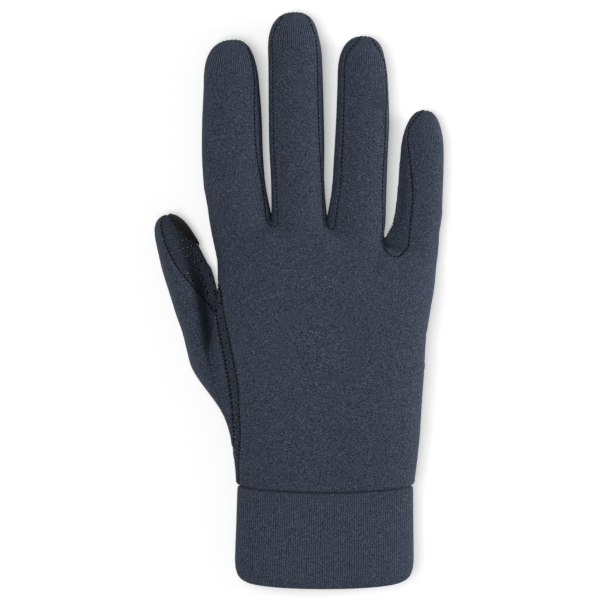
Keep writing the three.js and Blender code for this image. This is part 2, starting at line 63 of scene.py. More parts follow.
def smooth_value(at, places, values):
    """The value at each place on a smooth curve through a table, held past its ends."""
    places, values = np.asarray(places, float), np.asarray(values, float)
    at = np.clip(at, places[0], places[-1])
    i = np.clip(np.searchsorted(places, at, side="right") - 1, 0, len(places) - 2)
    before = np.maximum(np.arange(len(places)) - 1, 0)
    after = np.minimum(np.arange(len(places)) + 1, len(places) - 1)
    slope = (values[after] - values[before]) / (places[after] - places[before])
    span = places[i + 1] - places[i]
    t = (at - places[i]) / span
    return (
        values[i] * (1 + 2 * t) * (1 - t) ** 2 + slope[i] * span * t * (1 - t) ** 2
        + values[i + 1] * t * t * (3 - 2 * t) + slope[i + 1] * span * t * t * (t - 1)
    )


def lying_section(left, right, top, level, squareness, around, shrink=1.0, inset=0.0, flat=False):
    """One cross-section of cloth that lies on a table: sideways and height, round and closed."""
    turn = 2 * np.pi * np.arange(around) / around
    squareness = np.where(np.cos(turn) < 0, *np.broadcast_to(squareness, 2))
    across = np.sign(np.cos(turn)) * np.abs(np.cos(turn)) ** (2 / squareness)
    up = np.sign(np.sin(turn)) * np.abs(np.sin(turn)) ** (2 / squareness)
    reach = (np.where(across < 0, left, right) - inset) * (1 if flat else shrink)
    height = (np.where(up < 0, level * RESTING_BULGE, top - level) - inset) * shrink
    return np.column_stack([reach * across, np.maximum(level + height * up, inset)])


def end_round(past, length):
    """Share of the full section at a distance into a rounded end."""
    return (1 - np.clip(past / length, 0, 1) ** TIP_SQUARENESS) ** (1 / TIP_SQUARENESS)


def palm_edge(side, along):
    """Sideways place of the hand's left or right edge in plan."""
    wrist, knuckle = {
        "left": (WRIST_OFFSET - WRIST_WIDTH / 2, KNUCKLE_LEFT),
        "right": (WRIST_OFFSET + WRIST_WIDTH / 2, KNUCKLE_RIGHT),
    }[side]
    return wrist + (knuckle - wrist) * smooth_value(along, PALM["along"], PALM[side])


def wrist_line(side):
    """The cuff seam sags at mid width. side runs from -1 to 1 across the wrist."""
    return WRIST_RAISE - WRIST_SAG * (1 - np.minimum(np.square(side), 1)) ** WRIST_SAG_SHAPE


# Four fingers, each a round of cloth on its own straight axis in plan, closed at the tip.
# The side walls between neighbours are gussets, and their seams are columns of these tables.
# Lengths and widths are millimetres, lean is in degrees, the rest are shares of width or height.
# The little finger sinks in beside the ring finger. hollow is the share lost of the height above
# its widest level, from hollow_from across towards hollow_side, and the full share is reached
# hollow_edge further on. foot is the lowest that the cloth comes, in millimetres.
FINGERS = {
    "index": {"root": (-23.4, 106.8), "length": 71.6, "width": 24.4, "height": 15.5, "lean": -2.5},
    "middle": {"root": (0, 105.97), "length": 83.4, "width": 22, "height": 16, "lean": -1.2},
    "ring": {"root": (24.15, 104.4), "length": 75.4, "width": 21.3, "height": 15.5, "lean": 1.2},
    "little": {"root": (47.9, 96.36), "length": 53.8, "width": 18, "height": 14, "lean": 2.3},
}
FINGERS["index"]["table"] = {
    "along": (0, 0.18, 0.36, 0.56, 0.76, 0.88, 0.97),
    "left": (0.54, 0.575, 0.585, 0.555, 0.505, 0.5, 0.5),
    "right": (0.515, 0.435, 0.415, 0.42, 0.4, 0.385, 0.385),
    "top": (1.14, 1.06, 1, 1, 0.96, 0.92, 0.9),
    "seam_right": (0.43, 0.39, 0.315, 0.31, 0.335, 0.31, 0.22),
}
FINGERS["middle"]["table"] = {
    "along": (0, 0.18, 0.36, 0.56, 0.78, 0.89, 0.98),
    "left": (0.5, 0.495, 0.515, 0.51, 0.5, 0.515, 0.53),
    "right": (0.515, 0.475, 0.49, 0.49, 0.48, 0.455, 0.47),
    "top": (1.14, 1.06, 1, 1, 0.96, 0.92, 0.9),
    "seam_left": (-0.4, -0.41, -0.44, -0.435, -0.425, -0.41, -0.22),
    "seam_right": (0.45, 0.435, 0.405, 0.397, 0.397, 0.36, 0.21),
}
FINGERS["ring"]["table"] = {
    "along": (0, 0.18, 0.36, 0.56, 0.76, 0.88, 0.98),
    "left": (0.635, 0.535, 0.505, 0.48, 0.47, 0.48, 0.48),
    "right": (0.49, 0.495, 0.505, 0.52, 0.48, 0.45, 0.47),
    "top": (1.14, 1.06, 1, 1, 0.96, 0.92, 0.9),
    "seam_left": (-0.47, -0.393, -0.367, -0.35, -0.35, -0.33, -0.08),
    "seam_right": (0.44, 0.418, 0.438, 0.455, 0.44, 0.38, 0.16),
}
FINGERS["little"]["table"] = {
    "along": (0, 0.18, 0.36, 0.56, 0.76, 0.88, 0.98),
    "left": (0.8, 0.59, 0.53, 0.505, 0.48, 0.45, 0.43),
    "right": (0.5, 0.49, 0.48, 0.478, 0.46, 0.44, 0.44),
    "top": (1.14, 1.06, 1, 1, 0.96, 0.92, 0.9),
    "seam_left": (-0.245, -0.218, -0.19, -0.262, -0.35, -0.31, -0.06),
    "hollow": (0.9, 0.95, 0.95, 0.9, 0.5, 0.1, 0),
    "hollow_from": (0.42, 0.34, 0.31, 0.33, 0.34, 0.3, 0.3),
    "foot": (0, 0, 0, 0, 0, 0, 0),
}
FINGERS["little"].update(hollow_side=-1, hollow_edge=0.17)
# Each finger starts inside the hand, a little narrower
FINGER_TUCK, TUCK_NARROWING = 17.0, 0.25
BODY_RINGS, TIP_RINGS = 48, 16
# The fingers lie a little turned, so their left sides fall away more than their right sides
LEFT_SQUARENESS = {"index": 2.3, "middle": 2.4, "ring": 2.1, "little": 1.9}
for name, finger in FINGERS.items():
    finger.update(
        tip_round=18.0, widest=FINGER_WIDEST, ridge=0,
        squareness=(LEFT_SQUARENESS[name], FINGER_SQUARENESS),
    )
# How far up the palm the web of each gap lies
WEB_SHARES = {("index", "middle"): 1.017, ("middle", "ring"): 1.008, ("ring", "little"): 0.918}


def plan_place(digit, along, side):
    """A point in plan, from shares of a digit's length and width."""
    lean = math.radians(digit["lean"])
    run, aside = np.asarray(along) * digit["length"], np.asarray(side) * digit["width"]
    x = digit["root"][0] + math.sin(lean) * run + math.cos(lean) * aside
    y = digit["root"][1] + math.cos(lean) * run - math.sin(lean) * aside
    return np.stack(np.broadcast_arrays(x, y), axis=-1)


def digit_ring(digit, distance, around=96):
    """The points round a finger or the thumb at a distance from its root."""
    length, table = digit["length"], digit["table"]
    width = digit["width"] * (1 + TUCK_NARROWING * min(distance, 0) / FINGER_TUCK)
    along, ridge = distance / length, digit["ridge"] * width
    left, right, top = (smooth_value(along, table["along"], table[c]) for c in ("left", "right", "top"))
    shrink = end_round(distance - length + digit["tip_round"], digit["tip_round"])
    section = lying_section(
        left * width + ridge, right * width - ridge, top * digit["height"], digit["widest"],
        digit["squareness"], around, shrink,
    )
    across = (section[:, 0] + ridge * shrink) / digit["width"]
    if "hollow" in table:
        hollow, start, foot = (
            smooth_value(along, table["along"], table[c]) for c in ("hollow", "hollow_from", "foot")
        )
        t = np.clip((across * digit["hollow_side"] - start) / digit["hollow_edge"], 0, 1)
        above = np.maximum(section[:, 1] - digit["widest"], 0)
        section[:, 1] -= above * hollow * t * t * (3 - 2 * t)
        section[:, 1] = np.maximum(section[:, 1], foot)
    return np.column_stack([plan_place(digit, along, across), section[:, 1]])


def ring_distances(start, tip_start, tip):
    """Where the rings of a round of cloth go: evenly to the start of its tip, then closer."""
    closing = tip_start + (tip - tip_start) * np.sin(np.linspace(0.06, 0.995, TIP_RINGS) * math.pi / 2)
    return np.concatenate([np.linspace(start, tip_start, BODY_RINGS), closing])


def digit_rings(digit, tuck):
    """The rings of points of a finger or the thumb, from inside the hand to its tip."""
    distances = ring_distances(-tuck, digit["length"] - digit["tip_round"], digit["length"])
    return np.array([digit_ring(digit, distance) for distance in distances])


def web_between(a, b):
    """The web of the gap between two fingers, in plan."""
    first, second = FINGERS[a], FINGERS[b]
    x = (plan_place(first, 0, first["table"]["right"][0])[0]
         + plan_place(second, 0, -second["table"]["left"][0])[0]) / 2
    return np.array([x, WEB_SHARES[a, b] * PALM_LENGTH])


webs = np.array([web_between(a, b) for a, b in WEB_SHARES])


def palm_ring(distance, around=128):
    """The points round the hand body at a distance from the cuff seam."""
    along = distance / PALM_LENGTH
    left, right = palm_edge("left", along), palm_edge("right", along)
    half = (right - left) / 2
    widest = PALM_WIDEST + (FINGER_WIDEST - PALM_WIDEST) * max(along, 0) ** 3
    top = smooth_value(along, PALM["along"], PALM["top"]) * PALM_HEIGHT
    shrink = end_round(distance - PALM_LENGTH + PALM_END_ROUND, PALM_END_ROUND)
    section = lying_section(half, half, top, widest, PALM_SQUARENESS, around, shrink, flat=True)
    x = (left + right) / 2 + section[:, 0]
    start = wrist_line(section[:, 0] / half)
    knuckles = np.interp(x, webs[:, 0], webs[:, 1])
    y = start + (distance if distance < 0 else (knuckles - start) * along)
    return np.column_stack([x, y, section[:, 1]])


# Thumb: a round of cloth that leaves the heel of the hand, leans out and lies beside the index
# finger. Its seam column parts the plain outer half from the dotted inner half. Its hollow sinks
# the side next to the hand into the fold at the crotch, and its foot rises into the heel.
THUMB = {"root": (-22.1, 14), "length": 101, "width": 19, "height": 17.5, "lean": -18.2}
THUMB["table"] = {
    "along": (0, 0.12, 0.2, 0.26, 0.32, 0.38, 0.45, 0.52, 0.6, 0.68, 0.76, 0.83, 0.88, 0.93, 0.96, 0.985),
    "left": (0, 0.1, 0.223, 0.332, 0.44, 0.507, 0.488, 0.46, 0.469, 0.461, 0.457, 0.44, 0.43, 0.425,
             0.43, 0.43),
    "right": (0.6, 0.5, 0.42, 0.34, 0.24, 0.14, 0.17, 0.29, 0.47, 0.545, 0.54, 0.53, 0.49, 0.43, 0.4,
              0.38),
    "top": (0.9, 0.95, 1, 1.02, 1.04, 1.04, 1.02, 1, 1, 1, 1, 0.98, 0.95, 0.92, 0.9, 0.9),
    "seam": (0.7, 0.7, 0.7, 0.7, 0.7, 0.7, 0.66, 0.43, 0.25, 0.085, -0.09, -0.175, -0.195, -0.178, -0.159,
             -0.014),
    "hollow": (0, 0, 0, 0, 0, 0.1, 0.36, 0.76, 0.96, 0.9, 0.7, 0.6, 0.55, 0.5, 0.5, 0.5),
    "hollow_from": (-0.1, -0.1, -0.1, -0.1, -0.1, -0.1, -0.1, -0.03, 0.03, 0.07, 0.05, 0.02, 0, 0, 0, 0),
    "foot": (7, 5, 2.5, 0.8, 0, 0, 0, 0, 0, 0, 0, 0, 0, 0, 0, 0),
}
THUMB.update(tip_round=11.0, widest=3.5, squareness=(2.3, 1.5), ridge=-0.17)
THUMB.update(hollow_side=1, hollow_edge=0.22)

# Cloth form: the hand, fingers and thumb run into one another as one skin of cloth. It is meshed
# finer across the fingers than along them, and with the fingers spread apart, so that the narrow
# gaps between them stay open.
# FRAME_SHIFT takes the sizes above to the frame's origin, under the middle of the glove.
MESH_SIZE, FINER_ACROSS, WRIST_OVERRUN = 1.1, 1.6, 8.0
FRAME_SHIFT = np.array([-0.393, -74.181, 0.0])
SPREAD, SPREAD_ZONE, SPREAD_RISE = 12.0, 1.5, 12.0
THUMB_GAP_START, BEYOND_TIPS = 48.0, 200
# A step in and a slightly longer step out smooth the cloth without shrinking it. The knuckles are
# eased much more, because the fingers run into the back of the hand without a seam.
SMOOTHING_STEPS, SMOOTHING_ROUNDS = [0.5, -0.53], 7
KNUCKLE_EASE = {"middle": -3.0, "reach": 16.0, "share": 0.6, "rounds": 60, "clear_of_gaps": 3}


def digit_edge(digit, column, side):
    """One edge of a finger or the thumb in plan, from its root to its tip."""
    return plan_place(digit, digit["table"]["along"], side * np.array(digit["table"][column]))


def gap_line(left_edge, right_edge, start):
    """The line midway between two edges in plan, from where the spreading starts."""
    y = np.linspace(start, BEYOND_TIPS, 80)
    x = sum(np.interp(y, edge[:, 1], edge[:, 0]) for edge in (left_edge, right_edge)) / 2
    return y, x


hand_rows = np.linspace(0.3, 1, 12)
hand_edge = np.column_stack([palm_edge("left", hand_rows), hand_rows * PALM_LENGTH])
gaps = [gap_line(digit_edge(THUMB, "right", 1), hand_edge, THUMB_GAP_START)]
for (a, b), web in zip(WEB_SHARES, webs):
    edges = digit_edge(FINGERS[a], "right", 1), digit_edge(FINGERS[b], "left", -1)
    gaps.append(gap_line(*edges, web[1] - SPREAD_RISE))


def spread(points, back=False):
    """Moves the fingers and the thumb apart sideways, or back to where they lie."""
    points = points.copy()
    for y, x in (gaps if back else gaps[::-1]):
        start = np.interp(points[:, 1], y, x) - SPREAD_ZONE
        apart = SPREAD * np.clip((points[:, 1] - y[0]) / SPREAD_RISE, 0, 1)
        zone = 2 * SPREAD_ZONE + (apart if back else 0)
        share = np.clip((points[:, 0] - start) / zone, 0, 1)
        points[:, 0] += (-apart if back else apart) * share
    return points


def tube_mesh(rings):
    """Points and faces through rings of points, with a fan over each end."""
    count, around = rings.shape[:2]
    points = np.concatenate([rings.reshape(-1, 3), rings[[0, -1]].mean(axis=1)])
    near = np.arange(around)
    far = np.roll(near, -1)
    sides = [np.column_stack([r * around + near, r * around + far, (r + 1) * around + far])
             for r in range(count - 1)]
    sides += [np.column_stack([r * around + near, (r + 1) * around + far, (r + 1) * around + near])
              for r in range(count - 1)]
    last = (count - 1) * around
    start_cap = np.column_stack([far, near, np.full(around, count * around)])
    end_cap = np.column_stack([last + near, last + far, np.full(around, count * around + 1)])
    return points, np.concatenate([*sides, start_cap, end_cap])


def new_object(name, points, faces):
    """A mesh object from points in millimetres about the hand's own origin."""
    mesh = bpy.data.meshes.new(name)
    mesh.from_pydata(((np.asarray(points) + FRAME_SHIFT) / 1000).tolist(), [], np.asarray(faces).tolist())
    mesh.update()
    piece = bpy.data.objects.new(name, mesh)
    bpy.context.scene.collection.objects.link(piece)
    return piece


def one_skin(rounds):
    """Overlapping rounds of cloth as one even skin of triangles."""
    points, faces, count = [], [], 0
    for rings in rounds:
        more_points, more_faces = tube_mesh(rings)
        points.append(spread(more_points) * [FINER_ACROSS, 1, 1])
        faces.append(more_faces + count)
        count += len(more_points)
    form = new_object("form", np.concatenate(points), np.concatenate(faces))
    remesh = form.modifiers.new("even mesh", "REMESH")
    remesh.mode = "VOXEL"
    remesh.voxel_size = MESH_SIZE / 1000
    evaluated = form.evaluated_get(bpy.context.evaluated_depsgraph_get())
    mesh = evaluated.to_mesh()
    mesh.calc_loop_triangles()
    skin_points = np.empty(3 * len(mesh.vertices))
    mesh.vertices.foreach_get("co", skin_points)
    skin_faces = np.empty(3 * len(mesh.loop_triangles), dtype=np.int32)
    mesh.loop_triangles.foreach_get("vertices", skin_faces)
    evaluated.to_mesh_clear()
    bpy.data.objects.remove(form)
    skin_points = skin_points.reshape(-1, 3) * 1000 - FRAME_SHIFT
    skin_points = spread(skin_points / [FINER_ACROSS, 1, 1], back=True)
    return skin_points, skin_faces.reshape(-1, 3).astype(np.int64)


def point_sums(index, values, count):
    """Adds up rows of values that belong to the same point."""
    return np.stack([np.bincount(index, column, minlength=count) for column in values.T], axis=1)


def face_edges(faces):
    """The three edges of every triangle, as pairs of points."""
    return np.concatenate([faces[:, [0, 1]], faces[:, [1, 2]], faces[:, [2, 0]]])


def relax(points, faces, shares):
    """Moves each point towards the middle of its neighbours, once for each share."""
    edges = np.unique(np.sort(face_edges(faces), axis=1), axis=0)
    index, other = np.concatenate([edges, edges[:, ::-1]]).T
    count = np.bincount(index, minlength=len(points))[:, None]
    for share in shares:
        points = points + share * (point_sums(index, points[other], len(points)) / count - points)
    return points


def normals_of(points, faces):
    """The direction out of the cloth at each point."""
    a, b, c = points[faces].transpose(1, 0, 2)
    total = point_sums(faces.ravel(), np.repeat(np.cross(b - a, c - a), 3, axis=0), len(points))
    return total / np.maximum(np.linalg.norm(total, axis=1, keepdims=True), 1e-12)


palm_distances = ring_distances(-WRIST_OVERRUN, PALM_LENGTH - PALM_END_ROUND, PALM_LENGTH)
skin, skin_faces = one_skin([
    np.array([palm_ring(distance) for distance in palm_distances]),
    *(digit_rings(finger, FINGER_TUCK) for finger in FINGERS.values()),
    digit_rings(THUMB, 0),
])
skin = relax(skin, skin_faces, SMOOTHING_STEPS * SMOOTHING_ROUNDS)
from_knuckles = np.abs(skin[:, 1] - np.interp(skin[:, 0], webs[:, 0], webs[:, 1]) - KNUCKLE_EASE["middle"])
from_gaps = np.min([np.abs(skin[:, 0] - np.interp(skin[:, 1], y, x)) for y, x in gaps], axis=0)
eased = np.clip(2 - 2 * from_knuckles / KNUCKLE_EASE["reach"], 0, 1)
eased *= np.clip(from_gaps / KNUCKLE_EASE["clear_of_gaps"] - 0.3, 0, 1)
skin = relax(skin, skin_faces, [KNUCKLE_EASE["share"] * eased[:, None]] * KNUCKLE_EASE["rounds"])
skin[:, 2] = np.maximum(skin[:, 2], 0)

# Seams: the skin is slit where its panels are sewn to one another. Each seam is a line in plan:
# a U round every gap between two fingers, two lines beside the thumb and one along the thumb.
# The back meets the palm at the widest level, out of sight from above.
SEAM_DROPS = {("index", "middle"): 2.5, ("middle", "ring"): 2.5, ("ring", "little"): 4.4}
THUMB_CROTCH, THUMB_SEAM_START = 0.75, 0.5


def smooth_line(points, count):
    """A smooth line in plan through a few points."""
    points = np.asarray(points, float)
    run = np.concatenate([[0], np.cumsum(np.linalg.norm(np.diff(points, axis=0), axis=1))])
    at = np.linspace(0, run[-1], count)
    return np.column_stack([smooth_value(at, run, points[:, k]) for k in (0, 1)])


def gusset_outline(a, b):
    """Plan outline of the side walls between two fingers: down one, below the web, up the next."""
    first, second = FINGERS[a], FINGERS[b]
    web = web_between(a, b)

    def foot(digit, side):
        return plan_place(digit, min((web[1] - digit["root"][1]) / digit["length"], -0.02), side)

    down = list(plan_place(first, first["table"]["along"], first["table"]["seam_right"]))[::-1]
    down.append(foot(first, first["table"]["seam_right"][0]))
    up = [foot(second, second["table"]["seam_left"][0])]
    up += list(plan_place(second, second["table"]["along"], second["table"]["seam_left"]))
    bottom = np.array([(down[-1][0] + up[0][0]) / 2, web[1] - SEAM_DROPS[a, b]])
    seam = smooth_line([*down, bottom, *up], 160)
    first_end = plan_place(first, 1.03, first["table"]["seam_right"][-1])
    second_end = plan_place(second, 1.03, second["table"]["seam_left"][-1])
    far = max(first_end[1], second_end[1]) + 2
    return np.array([first_end, *seam, second_end, (second_end[0], far), (first_end[0], far)])


def palm_seam(column, start, end):
    """A seam beside the thumb, from the cuff towards the thumb's crotch."""
    rows = [i for i, along in enumerate(PALM["along"]) if start <= along <= end]
    along = np.array(PALM["along"])[rows]
    x = palm_edge("left", along) + np.array(PALM[column])[rows] * WRIST_WIDTH
    return smooth_line(np.column_stack([x, along * PALM_LENGTH]), 60)


def inside_by(outline, points):
    """How far each point is inside a plan outline, in millimetres; outside it is negative."""
    x, y = points[:, 0], points[:, 1]
    nearest, inside = np.full(len(points), np.inf), np.zeros(len(points), dtype=bool)
    for (ax, ay), (bx, by) in zip(outline, np.roll(outline, -1, axis=0)):
        dx, dy = bx - ax, by - ay
        share = np.clip(((x - ax) * dx + (y - ay) * dy) / (dx * dx + dy * dy + 1e-12), 0, 1)
        nearest = np.minimum(nearest, np.hypot(x - ax - share * dx, y - ay - share * dy))
        crossed = (ay > y) != (by > y)
        inside ^= crossed & (x < ax + (y - ay) * dx / (dy if dy else 1))
    return np.where(inside, nearest, -nearest)


thumb_seam_rows = [i for i, along in enumerate(THUMB["table"]["along"]) if along > THUMB_SEAM_START]
thumb_seam = plan_place(
    THUMB,
    np.array(THUMB["table"]["along"])[thumb_seam_rows],
    np.array(THUMB["table"]["seam"])[thumb_seam_rows],
)
# Each panel's outline in plan. Away from its seams it runs past the cloth, by shares of the
# thumb's length and width, or to these places in millimetres for the back.
PAST_TIP, PAST_SIDE = 1.1, 1.5
PAST_HAND = {"left": -55, "right": 85, "cuff": -12, "fingers": 205}
outlines = {
    "thumb": np.array([
        plan_place(THUMB, -0.15, -PAST_SIDE), (palm_edge("left", 0.05) - 1.5, 0.05 * PALM_LENGTH),
        *palm_seam("thumb_seam", 0.1, THUMB_CROTCH), plan_place(THUMB, 0.76, 0.62),
        plan_place(THUMB, PAST_TIP, 0.62), plan_place(THUMB, PAST_TIP, -PAST_SIDE),
    ]),
    "thumb_inner": np.array([
        plan_place(THUMB, 0.43, PAST_SIDE), plan_place(THUMB, 0.49, 0.75), *smooth_line(thumb_seam, 80),
        plan_place(THUMB, PAST_TIP, 0.1), plan_place(THUMB, PAST_TIP, PAST_SIDE),
    ]),
    "gusset_index_middle": gusset_outline("index", "middle"),
    "gusset_middle_ring": gusset_outline("middle", "ring"),
    "gusset_ring_little": gusset_outline("ring", "little"),
}
back_seam = palm_seam("back_seam", 0, 0.87)
outlines["back"] = np.array([
    (back_seam[0][0], PAST_HAND["cuff"]), *back_seam, (PAST_HAND["left"], back_seam[-1][1]),
    (PAST_HAND["left"], PAST_HAND["fingers"]), (PAST_HAND["right"], PAST_HAND["fingers"]),
    (PAST_HAND["right"], PAST_HAND["cuff"]),
])


def slit(points, faces, fields, which, level=0.0, snap=0.03):
    """Cuts triangles along the line where one column of fields passes a level."""
    side = fields[:, which] - level
    side = np.where(np.abs(side) < snap, 0, side)
    signs = np.sign(side)[faces]
    mixed = (signs.max(axis=1) > 0) & (signs.min(axis=1) < 0)
    kept, cut, signs = faces[~mixed], faces[mixed], signs[mixed]
    on_line = (signs == 0).any(axis=1)
    odd_one = signs == -np.sign(signs.sum(axis=1))[:, None]
    first = np.where(on_line, np.argmax(signs == 0, axis=1), np.argmax(odd_one, axis=1))
    cut = np.take_along_axis(cut, (first[:, None] + np.arange(3)) % 3, axis=1)
    a, b, c = cut[on_line].T
    d, e, f = cut[~on_line].T
    pairs = np.concatenate([np.stack([b, c]), np.stack([d, e]), np.stack([f, d])], axis=1).T
    pairs, index = np.unique(np.sort(pairs, axis=1), axis=0, return_inverse=True)
    share = (side[pairs[:, 0]] / (side[pairs[:, 0]] - side[pairs[:, 1]]))[:, None]
    new_points = points[pairs[:, 0]] * (1 - share) + points[pairs[:, 1]] * share
    new_fields = fields[pairs[:, 0]] * (1 - share) + fields[pairs[:, 1]] * share
    new_fields[:, which] = level
    bc, de, fd = np.split(index.ravel() + len(points), [len(b), len(b) + len(d)])
    faces = np.concatenate([kept, *(np.stack(corners, axis=1) for corners in (
        (a, b, bc), (a, bc, c), (d, de, fd), (de, e, f), (de, f, fd),
    ))])
    return np.concatenate([points, new_points]), faces, np.concatenate([fields, new_fields])


wrist_x = (skin[:, 0] - WRIST_OFFSET) / (WRIST_WIDTH / 2)
panel_fields = np.stack([
    skin[:, 1] - wrist_line(wrist_x),
    inside_by(outlines["thumb"], skin),
    inside_by(outlines["thumb_inner"], skin),
    inside_by(outlines["gusset_index_middle"], skin),
    inside_by(outlines["gusset_middle_ring"], skin),
    inside_by(outlines["gusset_ring_little"], skin),
    np.minimum(inside_by(outlines["back"], skin), skin[:, 2] - FINGER_WIDEST),
], axis=1)
WRIST, IN_THUMB, IN_THUMB_INNER, IN_GUSSETS, IN_BACK = 0, 1, 2, (3, 4, 5), 6
PANELS = ("palm", "back", "gusset_index_middle", "gusset_middle_ring", "gusset_ring_little",
          "thumb_outer", "thumb_inner")


def panel_numbers(faces, fields):
    """Which panel each triangle of the slit skin belongs to."""
    middles = fields[faces].mean(axis=1)
    numbers = np.where(middles[:, IN_BACK] > 0, PANELS.index("back"), PANELS.index("palm"))
    for column, gusset in zip(IN_GUSSETS, PANELS[2:5]):
        numbers[middles[:, column] > 0] = PANELS.index(gusset)
    thumb_halves = np.where(
        middles[:, IN_THUMB_INNER] > 0, PANELS.index("thumb_inner"), PANELS.index("thumb_outer"),
    )
    return np.where(middles[:, IN_THUMB] > 0, thumb_halves, numbers)


for column in range(panel_fields.shape[1]):
    skin, skin_faces, panel_fields = slit(skin, skin_faces, panel_fields, column)
skin_faces = skin_faces[panel_fields[skin_faces, WRIST].mean(axis=1) > 0]
panel_of = panel_numbers(skin_faces, panel_fields)


def half_edges(faces, owners):
    """Every face's edges in sorted order, with the panel that each belongs to."""
    pairs = np.sort(face_edges(faces), axis=1)
    order = np.lexsort((pairs[:, 1], pairs[:, 0]))
    return pairs[order], np.tile(owners, 3)[order]


def sewn_edges(faces, owners):
    """The edges where two panels meet, with their two panels, and the open edges at the wrist."""
    pairs, owner = half_edges(faces, owners)
    twin = (pairs[1:] == pairs[:-1]).all(axis=1)
    sewn = twin & (owner[1:] != owner[:-1])
    alone = ~np.concatenate([[False], twin]) & ~np.concatenate([twin, [False]])
    both = np.sort(np.stack([owner[1:][sewn], owner[:-1][sewn]], axis=1), axis=1)
    return pairs[1:][sewn], both, pairs[alone]


# Groove along every seam: the two cloths turn in to the stitches and stand a little proud beside
# them. Two more slits beside each seam give the groove its even width. It is shallow at the tips,
# and wider and deeper round the thumb's root, where the cloth folds in.
GROOVE = {"away": (0, 0.4, 0.9, 1.4, 2.4), "lift": (-0.55, -0.15, 0.14, 0.12, 0)}
TIP_SHALLOWS, TIP_GROOVE = 10.0, 0.3
THUMB_FOLD = {"reach": 2.5, "deeper": 2.4, "wider": 1.6}
seams, seam_panels, wrist_edges = sewn_edges(skin_faces, panel_of)


def distance_to(points, ends):
    """Distance of each point from lines that are given as pairs of ends."""
    shares = np.array([0, 0.25, 0.5, 0.75, 1])[:, None, None]
    spots = (ends[None, :, 0] * (1 - shares) + ends[None, :, 1] * shares).reshape(-1, 3)
    tree = KDTree(len(spots))
    for i, spot in enumerate(spots):
        tree.insert(spot, i)
    tree.balance()
    return np.array([tree.find(point)[2] for point in points])


sewn_lines = np.concatenate([skin[seams], skin[wrist_edges]])
fields = np.column_stack([panel_fields, distance_to(skin, sewn_lines)])
FROM_SEAM = 7
for level in GROOVE["away"][1:3]:
    skin, skin_faces, fields = slit(skin, skin_faces, fields, FROM_SEAM, level)
panel_of = panel_numbers(skin_faces, fields)
outward = normals_of(skin, skin_faces)
tip_places = np.array([plan_place(digit, 1, 0) for digit in (*FINGERS.values(), THUMB)])
from_tips = np.linalg.norm(skin[:, None, :2] - tip_places, axis=2).min(axis=1)
shallower = np.clip(from_tips / TIP_SHALLOWS, TIP_GROOVE, 1)
folded = np.abs(fields[:, IN_THUMB]) < THUMB_FOLD["reach"]
wider, deeper = (np.where(folded, THUMB_FOLD[name], 1) for name in ("wider", "deeper"))
lift = np.interp(fields[:, FROM_SEAM] / wider, GROOVE["away"], GROOVE["lift"])
lift *= shallower * np.where(lift < 0, deeper, 1)
cloth = skin + outward * lift[:, None]

# Brushed stretch fleece: a fine polyester and elastane jersey, brushed on both sides to a short
# soft nap that scatters all gloss. Heathered yarns speckle it with navy, charcoal and grey. Where
# the tips stretch it, its wales show as faint lines that run along the finger and round its tip.
# Yarns, wales and nap are a little coarser here than the real ones, so that they show.
FLEECE_THICKNESS = 1.5
FLEECE_DARK, FLEECE_MID, FLEECE_LIGHT = "#161b24", "#323946", "#5b6376"
HEATHER_SIZE, WALE_SPACING, NAP_SIZE = 0.45, 0.9, 0.25
TIP_STRETCH, TIP_STRETCH_REACH, WALE_RADIUS = 0.42, 22.0, 9.0


def colour(hex_code):
    """An sRGB hex colour as the linear colour that a shader takes."""
    channels = [int(hex_code[i:i + 2], 16) / 255 for i in (1, 3, 5)]
    return (*(c / 12.92 if c <= 0.04045 else ((c + 0.055) / 1.055) ** 2.4 for c in channels), 1)


def add_node(material, kind, inputs=None, **settings):
    """A shader node with its settings. An input is a value or another node's output."""
    node = material.node_tree.nodes.new(kind)
    for name, value in settings.items():
        setattr(node, name, value)
    for name, value in (inputs or {}).items():
        if isinstance(value, bpy.types.NodeSocket):
            material.node_tree.links.new(value, node.inputs[name])
        else:
            node.inputs[name].default_value = value
    return node


def new_material(name):
    """An empty node material and its output node."""
    material = bpy.data.materials.new(name)
    material.use_nodes = True
    material.node_tree.nodes.clear()
    return material, add_node(material, "ShaderNodeOutputMaterial")


